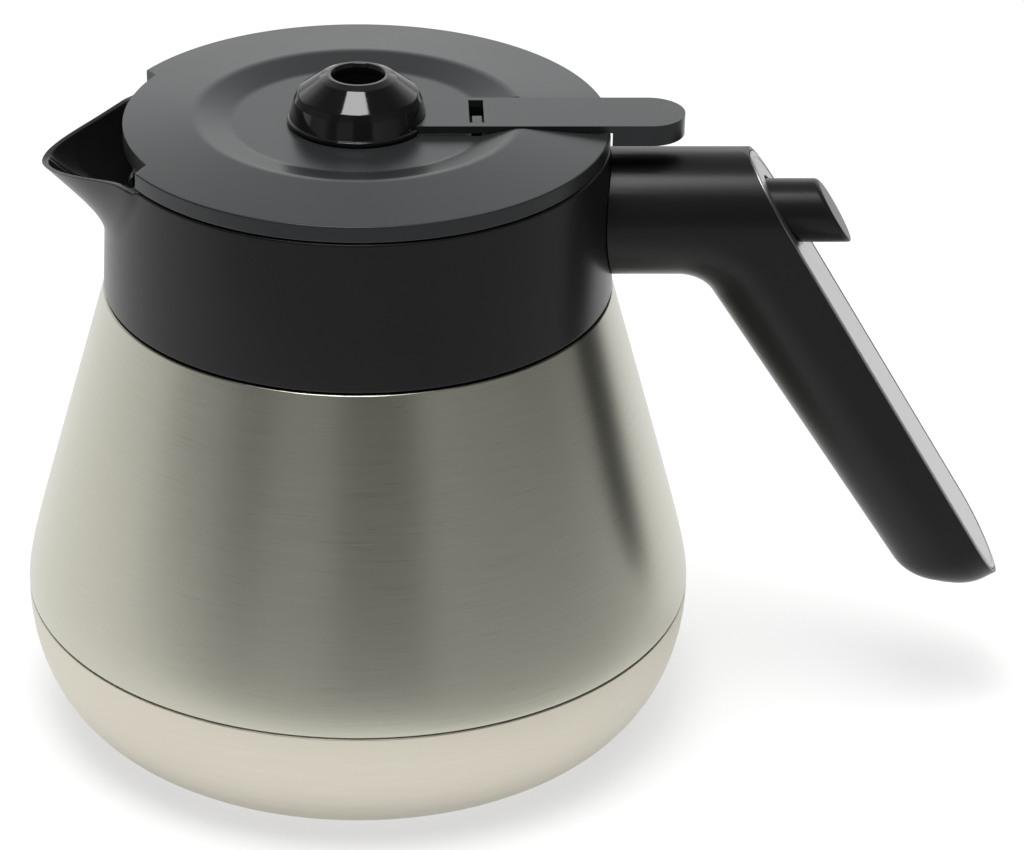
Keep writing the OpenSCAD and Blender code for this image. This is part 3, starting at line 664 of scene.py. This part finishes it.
def pull_spout(piece):
    """Draws the plain collar out into the spout, opens its mouth and lowers its rim there."""
    for vertex in piece.data.vertices:
        x, y, z = vertex.co / MM
        angle = math.degrees(math.atan2(y, -x))
        if abs(angle) > SPOUT_HALF or z < SPOUT_FOOT:
            continue
        r = math.hypot(x, y)
        wall_r = collar_radius(z)
        bore_r = bore_radius(z)
        across = min(max((r - bore_r) / (wall_r - bore_r), 0), 1)
        level = (z - SPOUT_FOOT) / (COLLAR_TOP - SPOUT_FOOT)
        narrow = 0.45 + 0.55 * level ** 0.8  # the spout is narrower at its foot
        out_r = wall_r + SPOUT_REACH * spout_rise(level) * spout_plan(angle / narrow)
        in_r = bore_r
        depth = (z - MOUTH_FOOT) / (COLLAR_TOP - MOUTH_FOOT)
        open_share = 1 - min(max((abs(angle) - MOUTH_HALF) / 2.2, 0), 1)
        if depth > 0 and open_share > 0:
            rim_r = LID_R + SPOUT_REACH * spout_plan(angle) - LIP_WALL
            in_r = bore_r + open_share * (rim_r - bore_r) * depth ** 0.5
        drop = COLLAR_TOP - rim_height(angle) if abs(angle) < 30.5 else 0
        foot = SPOUT_FOOT + (1 - across) * (MOUTH_FOOT - SPOUT_FOOT)
        share = max(z - foot, 0) / (COLLAR_TOP - foot)
        r_new = in_r + across * (out_r - in_r)
        vertex.co = Vector((x * r_new / r, y * r_new / r, z - drop * share)) * MM


def make_collar():
    """Collar with its tapered bore, the shelf over the flask's mouth and the spout."""
    outside = [(collar_radius(z), z, 0) for z in range(106, 137, 1)]
    inside = [(bore_radius(z), z, 0) for z in range(137, 119, -1)]
    collar = lathe("collar_spout", rounded(
        [(COLLAR_IN_R, COLLAR_FOOT_Z, 0), (collar_radius(COLLAR_FOOT_Z), COLLAR_FOOT_Z, 0.6)] + outside
        + [(LID_R, COLLAR_TOP, 0.6)]
        + [(LID_R - 1.6, COLLAR_TOP, 0), (LID_R - 3.2, COLLAR_TOP, 0)]
        + [(BORE_TOP_R, COLLAR_TOP, 0.4)] + inside
        + [(SEAL_BORE_R, SHELF_TOP, 0), (SHELF_R, SHELF_TOP, 0.4), (SHELF_R, SHELF_Z, 0.3),
           (NECK_R, SHELF_Z, 0), (NECK_R, NECK_Z, 0), (COLLAR_IN_R, NECK_Z, 0)]), sides=240)
    pull_spout(collar)
    soften(collar, 38)
    # the mouth's inside is glossier than the rest
    collar.data.materials.append(SATIN_BLACK)
    collar.data.materials.append(GLOSS_BLACK)
    editing(collar, "FACE")
    choose_faces(collar, lambda c, n: c.x < -44 and abs(c.y) < 27 and c.z > SPOUT_FOOT and n.x > 0.15)
    collar.active_material_index = 1
    bpy.ops.object.material_slot_assign()
    done_editing()
    return collar


collar = make_collar()
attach(collar, "carafe")
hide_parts("neck_collar")

# ---------------------------------------------------------------- lid, knob and lever

LID_Z = 138.3
LID_EDGE_Z = 142.0
RIDGE_R, RIDGE_Z = 35.4, 143.85
DISH_R, DISH_Z = 27.7, 142.0
STEM_HOLE_R = 7.6
FRONT_R = 51.0
FRONT_ANGLE = 28.5
NOTCH_SKEW = 59.0
LEVER_W = 15.6
LEVER_TOP = 144.0
STRIP_T = 1.7
PIN_X, PIN_Z = 33.0, 141.6
CHANNEL_HALF, CHANNEL_Z = 8.45, 139.3
EAR_X, EAR_Z, EAR_R = -46.5, 135.8, 2.5
EAR_IN, EAR_OUT = 17.6, 20.4


def front_cutter():
    """A ring sector that takes the lid's rim back over the spout."""
    cutter = rod("front cutter", 70, (0, 0, 130), (0, 0, 150), sides=240)
    core = rod("front core", FRONT_R, (0, 0, 120), (0, 0, 160), sides=240)
    cut_with(cutter, core)
    editing(cutter, "FACE")
    for side in (-1, 1):
        turn = math.radians(NOTCH_SKEW)
        corner = math.radians(FRONT_ANGLE)
        spot = Vector((-FRONT_R * math.cos(corner), side * FRONT_R * math.sin(corner), 0))
        away = (math.sin(turn), side * math.cos(turn), 0)
        bpy.ops.mesh.select_all(action="SELECT")
        bpy.ops.mesh.bisect(plane_co=spot * MM, plane_no=away, use_fill=True, clear_outer=True)
    done_editing()
    recalculate(cutter)
    return cutter


def make_lid():
    """Lid: rim, shallow cone, ridge and dish, with the lever's channel, the hinge ears and a lug."""
    slope = (RIDGE_Z - LID_EDGE_Z) / (LID_R - RIDGE_R)
    rows = [(LID_R - 0.6 * k, LID_EDGE_Z + slope * 0.6 * k, 0) for k in range(1, 11)]
    lid = lathe("lid_cover", rounded(
        [(STEM_HOLE_R, LID_Z, 0), (LID_R, LID_Z, 0.4), (LID_R, LID_EDGE_Z, 0.45)] + rows
        + [(RIDGE_R, RIDGE_Z, 7), (DISH_R, DISH_Z, 7), (STEM_HOLE_R, DISH_Z, 0.3)]), sides=240)
    cut_with(lid, front_cutter())
    cut_with(lid, block("lever channel", (12, -CHANNEL_HALF, CHANNEL_Z), (70, CHANNEL_HALF, 150)))
    bevel_edges(lid, 0.25, 2, 50)
    ears = []
    for side in (-1, 1):
        low, high = sorted((side * EAR_IN, side * EAR_OUT))
        ears.append(rod("ear", EAR_R, (EAR_X, side * EAR_IN, EAR_Z),
                        (EAR_X, side * EAR_OUT, EAR_Z), sides=48))
        ears.append(block("ear neck", (EAR_X - 1.5, low, EAR_Z), (EAR_X + 1.5, high, LID_Z + 0.3)))
    stop = block("window lug", (24.6, -5.4, 139.2), (26.9, -0.3, 143.3))
    bevel_edges(stop, 0.3, 2, 30)
    join_onto(lid, ears + [stop])
    soften(lid, 35)
    return lid


def make_knob():
    """Domed knob round the inlet: its slope, its wall and flange, then the hollow inside."""
    knob = lathe("brew_knob", rounded([
        (5.5, 152.2, 0.4), (5.95, 152.95, 0.25), (6.7, 152.95, 0.5), (8.3, 152.3, 1.2), (13.1, 148.8, 1.2),
        (13.9, 147.3, 0.4), (14.9, 143.4, 0.2), (15.4, 143.2, 0.3), (15.4, 142.3, 0.3),
        (12.7, 142.3, 0), (12.7, 145.8, 0), (7.6, 149.4, 0), (7.6, 150.5, 0), (5.5, 150.5, 0)],
        steps=6), sides=128)
    cut_with(knob, block("lever notch", (8.8, -8.2, 141.3), (17, 8.2, 144.3)))
    bevel_edges(knob, 0.12, 2, 60)
    soften(knob, 35)
    return knob


def strip_with_round_end(name, start, tip_x, half, low, high):
    """A flat bar with a half-round end, drawn up from its outline."""
    clear_selection()
    bpy.ops.mesh.primitive_circle_add(
        vertices=96, radius=half * MM, fill_type="NGON", location=(tip_x * MM, 0, low * MM))
    bar = bpy.context.object
    bar.name = name
    pick(bar)
    bpy.ops.object.transform_apply(location=True, rotation=True, scale=True)
    editing(bar)
    bpy.ops.object.mode_set(mode="OBJECT")
    for vertex in bar.data.vertices:
        vertex.select = vertex.co.x / MM < tip_x - 0.01
    bpy.ops.object.mode_set(mode="EDIT")
    bpy.ops.transform.resize(value=(0, 1, 1), center_override=(tip_x * MM, 0, 0))
    bpy.ops.mesh.delete(type="VERT")
    bpy.ops.mesh.select_mode(type="EDGE")
    bpy.ops.object.mode_set(mode="OBJECT")
    bpy.ops.object.mode_set(mode="EDIT")
    bpy.ops.mesh.select_all(action="SELECT")
    bpy.ops.mesh.edge_face_add()
    bpy.ops.mesh.select_all(action="DESELECT")
    bpy.ops.object.mode_set(mode="OBJECT")
    mesh = bar.data
    for edge in mesh.edges:
        edge.select = all(abs(mesh.vertices[i].co.x / MM - tip_x) < 0.01 for i in edge.vertices)
    bpy.ops.object.mode_set(mode="EDIT")
    draw_out(start - tip_x, 0, 0)
    bpy.ops.mesh.select_all(action="SELECT")
    bpy.ops.mesh.dissolve_limited(angle_limit=math.radians(0.5))
    bpy.ops.mesh.select_mode(type="FACE")
    bpy.ops.mesh.select_all(action="SELECT")
    draw_out(0, 0, high - low)
    done_editing()
    recalculate(bar)
    return bar


def make_lever():
    """Flat thumb strip with a round end, a deeper tab past the rim and a window near the knob."""
    tip_x, end_r = 63.1, LEVER_W / 2
    strip = strip_with_round_end("thumb_strip", 5, tip_x, end_r, LEVER_TOP - STRIP_T, LEVER_TOP)
    tab = strip_with_round_end("tab", 54.0, tip_x, end_r - 0.02, CHANNEL_Z, LEVER_TOP - 0.8)
    cut_with(strip, tab, "UNION")
    knuckle = rod("knuckle", 1.9, (PIN_X, -end_r + 0.03, PIN_Z), (PIN_X, end_r - 0.03, PIN_Z), sides=48)
    cut_with(strip, knuckle, "UNION")
    cut_with(strip, block("window", (24, -5.8, 138), (27.2, 6.4, 150)))
    cut_with(strip, rod("stem clearance", 8.8, (0, 0, 130), (0, 0, 160), sides=96))
    bevel_edges(strip, 0.45, 3, 40)
    strip_foot = LEVER_TOP - STRIP_T + 0.05
    cut_with(strip, rod("rim clearance", LID_R + 0.55, (0, 0, 130), (0, 0, strip_foot), sides=240))
    soften(strip, 35)
    return strip


lid = make_lid()
knob = make_knob()
lever = make_lever()
for piece, node_name, body, finish in (
        (lid, "lid_top", "lid", SATIN_LID), (knob, "inlet_knob", "valve", GLOSS_BLACK),
        (lever, "thumb_lever", "lever", SATIN_LID)):
    piece.data.materials.append(finish)
    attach(piece, body)
    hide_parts(node_name)

# ---------------------------------------------------------------- steel body

FOOT_R = 53.7
BELLY_R, BELLY_Z = 75.0, 31.0
BOWL_POWER = 2.1
BELLY_SOFT = 30         # how softly the belly turns into the cone
SHOULDER_R, SHOULDER_Z = 56.1, 103.8
MOUTH_Z = 113.2
SHEET = 0.8


def bowl_radius(z):
    """A superellipse from the foot up to the belly."""
    share = (BELLY_Z - z) / BELLY_Z
    return FOOT_R + (BELLY_R - FOOT_R) * (1 - share ** BOWL_POWER) ** (1 / BOWL_POWER)


def ease_out(z):
    return math.sqrt((z - BELLY_Z) ** 2 + BELLY_SOFT) - math.sqrt(BELLY_SOFT)


def wall_radius(z):
    """A cone from the belly to the shoulder that starts upright."""
    return BELLY_R - (BELLY_R - SHOULDER_R) * ease_out(z) / ease_out(SHOULDER_Z)


def make_shell():
    """Spun steel wall: its foot rolls in at the seam and its top rolls in under the collar."""
    heights = [31.6, 32.5, 34, 36, 38.5, 41, 44, 48, 53, 59, 66, 74, 83, 92, 99]
    outside = [(wall_radius(z), z, 0) for z in heights]
    shell = lathe("steel_wall", rounded(
        [(74.0, 31.15, 0), (74.85, 31.15, 0.3)] + outside
        + [(wall_radius(103.6), 103.7, 0.4), (53.5, SHOULDER_Z, 0), (47.9, SHOULDER_Z, 0.5),
           (47.5, MOUTH_Z, 0), (46.7, MOUTH_Z, 0),
           (46.7, SHOULDER_Z - SHEET, 0), (53.5, SHOULDER_Z - SHEET, 0)]
        + [(wall_radius(z) - SHEET, z, 0) for z in (99, 83, 66, 53, 44, 36)]), sides=240)
    soften(shell, 35)
    return shell


def make_bowl():
    """Bowl under the seam, with a rim that slips up inside the wall."""
    heights = [0.4, 0.7, 1.2, 2, 3, 4.5, 6.5, 9, 12, 15, 18.5, 22, 25.5, 28.5]
    outside = [(bowl_radius(z), z, 0) for z in heights]
    inside = [(bowl_radius(z) - SHEET, z, 0) for z in (28, 22, 15, 9, 4.5, 2.8)]
    bowl = lathe("steel_foot_bowl", rounded(
        [(50.2, 0.4, 0)] + outside + [(74.98, 30.85, 0.3), (74.0, 30.9, 0), (73.9, 34.5, 0), (73.1, 34.5, 0),
                                      (73.3, 30.5, 0)] + inside + [(50.2, 2.8, 0)]), sides=240)
    soften(bowl, 35)
    return bowl


wall = make_shell()
bowl = make_bowl()
for piece, node_name, finish in ((wall, "outer_shell", STEEL_WALL), (bowl, "base_bowl", SATIN_BOWL_PAINTED_REFLECTION)):
    piece.data.materials.append(finish)
    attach(piece, "carafe")
    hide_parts(node_name)

# ---------------------------------------------------------------- camera, floor and light

LENS_MM = 148.08
SENSOR_MM = 36.0
camera_data = bpy.data.cameras.new("photo camera")
camera_data.sensor_width = SENSOR_MM
camera_data.lens = LENS_MM
camera_data.shift_x = 0.1504
camera_data.clip_start = 0.05
camera_data.clip_end = 20
camera = bpy.data.objects.new("photo camera", camera_data)
camera.location = (0, -0.8388, 0.5085)
camera.rotation_euler = (math.radians(62.26), 0, 0)
bpy.context.scene.collection.objects.link(camera)
bpy.context.scene.camera = camera


def studio_ramp(tree, value, stops):
    ramp = tree.nodes.new("ShaderNodeValToRGB")
    ramp.color_ramp.interpolation = "EASE"
    while len(ramp.color_ramp.elements) < len(stops):
        ramp.color_ramp.elements.new(0.5)
    for element, (place, grey) in zip(ramp.color_ramp.elements, stops):
        element.position = place
        element.color = (grey, grey, grey, 1)
    tree.links.new(value, ramp.inputs["Fac"])
    return ramp.outputs["Color"]


def studio_math(tree, operation, first, second=None):
    node = tree.nodes.new("ShaderNodeMath")
    node.operation = operation
    for socket, value in zip(node.inputs, (first, second)):
        if value is None:
            continue
        if isinstance(value, (int, float)):
            socket.default_value = value
        else:
            tree.links.new(value, socket)
    return node.outputs["Value"]


def studio_mix(tree, factor, first, second, blend="MIX"):
    node = tree.nodes.new("ShaderNodeMix")
    node.data_type = "RGBA"
    node.blend_type = blend
    for name, value in (("Factor", factor), ("A", first), ("B", second)):
        socket = node.inputs[name]
        if isinstance(value, (int, float, tuple)):
            socket.default_value = value
        else:
            tree.links.new(value, socket)
    return node.outputs["Result"]


def pale_floor():
    """A pale table, white to the camera but for the object's shadow; its front dims in reflections."""
    material, tree, shader = new_material("studio floor")
    shader.inputs["Base Color"].default_value = (0.84, 0.84, 0.83, 1)
    shader.inputs["Roughness"].default_value = 0.7
    coords = tree.nodes.new("ShaderNodeTexCoord")
    parts = tree.nodes.new("ShaderNodeSeparateXYZ")
    tree.links.new(coords.outputs["Object"], parts.inputs["Vector"])
    right = studio_math(tree, "MAXIMUM", studio_math(tree, "SUBTRACT", parts.outputs["X"], 0.03), 0.0)
    forward = studio_math(tree, "SUBTRACT", studio_math(tree, "MULTIPLY", right, 1.4), parts.outputs["Y"])
    table = studio_ramp(tree, forward, FLOOR_FORWARD)
    path = tree.nodes.new("ShaderNodeLightPath")
    glow = tree.nodes.new("ShaderNodeEmission")
    tree.links.new(
        studio_mix(tree, path.outputs["Is Camera Ray"], table, (1.0, 1.0, 1.0, 1)), glow.inputs["Color"])
    seen = studio_math(tree, "ADD", path.outputs["Is Camera Ray"], path.outputs["Is Glossy Ray"])
    seen = studio_math(tree, "ADD", seen, path.outputs["Is Transmission Ray"])
    seen = studio_math(tree, "MULTIPLY", seen, FLOOR_GLOW)
    both = tree.nodes.new("ShaderNodeMixShader")
    tree.links.new(seen, both.inputs["Fac"])
    tree.links.new(shader.outputs["BSDF"], both.inputs[1])
    tree.links.new(glow.outputs["Emission"], both.inputs[2])
    tree.links.new(both.outputs["Shader"], tree.nodes["Material Output"].inputs["Surface"])
    return material


FLOOR_GLOW = 0.6
FLOOR_FORWARD = [(0.0, 1.0), (0.14, 0.95), (0.22, 0.45), (0.32, 0.10), (1.0, 0.10)]
clear_selection()
bpy.ops.mesh.primitive_plane_add(size=6, location=(0, 0, -0.0002))
floor = bpy.context.object
floor.name = "studio_floor"
floor.data.materials.append(pale_floor())

world = bpy.data.worlds.new("studio world")
bpy.context.scene.world = world
world.use_nodes = True


def light_world(tree):
    """White to the camera; round the object a studio with a dim front, a high panel and bright sides."""
    coords = tree.nodes.new("ShaderNodeTexCoord")
    parts = tree.nodes.new("ShaderNodeSeparateXYZ")
    tree.links.new(coords.outputs["Generated"], parts.inputs["Vector"])
    towards = studio_math(tree, "MULTIPLY", parts.outputs["Y"], -1)
    around = studio_math(tree, "ARCTAN2", parts.outputs["X"], towards)
    turn = studio_math(tree, "ADD", studio_math(tree, "DIVIDE", around, 2 * math.pi), 0.5)
    up = parts.outputs["Z"]
    low, front, back = (
        studio_mix(tree, 1.0, studio_ramp(tree, turn, sideways), studio_ramp(tree, up, upward), "MULTIPLY")
        for sideways, upward in ((AROUND, UPWARD), (FRONT_PANEL, FRONT_UPWARD), (BACK_PANEL, BACK_UPWARD)))
    room = studio_mix(tree, 1.0, low, studio_mix(tree, 1.0, front, back, "ADD"), "ADD")
    path = tree.nodes.new("ShaderNodeLightPath")
    seen = studio_mix(tree, path.outputs["Is Camera Ray"], room, (1.0, 1.0, 1.0, 1))
    tree.links.new(seen, tree.nodes["Background"].inputs["Color"])
    tree.nodes["Background"].inputs["Strength"].default_value = 1.0


# brightness round the object: 0.5 is towards the camera, 0.25 to its left, 0.75 to its right
AROUND = [
    (0.0, 0.95), (0.05, 0.70), (0.111, 0.28), (0.19, 0.15), (0.26, 0.24), (0.33, 0.32), (0.375, 0.09),
    (0.395, 0.09), (0.41, 0.27), (0.47, 0.27), (0.485, 0.06), (0.555, 0.05), (0.58, 0.34), (0.66, 0.24),
    (0.74, 0.07), (0.80, 0.04), (0.87, 0.08), (0.95, 0.75), (1.0, 0.95)]
UPWARD = [(0.0, 1.0), (0.20, 0.95), (0.45, 0.50), (0.75, 0.20), (1.0, 0.20)]
FRONT_PANEL = [(0.38, 0.0), (0.44, 1.0), (0.56, 1.0), (0.62, 0.0)]
FRONT_UPWARD = [(0.76, 0.0), (0.84, 1.0), (0.94, 1.0), (0.985, 0.1)]
BACK_PANEL = [(0.0, 1.0), (0.10, 1.0), (0.20, 0.0), (0.80, 0.0), (0.90, 1.0), (1.0, 1.0)]
BACK_UPWARD = [(0.16, 0.0), (0.28, 1.0), (0.45, 0.75), (0.65, 0.30), (0.90, 0.10)]
light_world(world.node_tree)


def lamp(name, place, aim, size, watts):
    data = bpy.data.lights.new(name, "AREA")
    data.shape = "RECTANGLE"
    data.size, data.size_y = size
    data.energy = watts
    light = bpy.data.objects.new(name, data)
    light.location = place
    light.rotation_euler = (Vector(aim) - Vector(place)).to_track_quat("-Z", "Y").to_euler()
    bpy.context.scene.collection.objects.link(light)
    return light


overhead = lamp("overhead softbox", (0, -0.1, 1.3), (0, 0, 0), (1.4, 1.2), 20)
overhead.visible_glossy = False
lamp("window", (-0.10, -0.23, 1.27), (0, 0, 0.14), (0.55, 0.5), 9)

bpy.context.scene.view_settings.view_transform = "Standard"
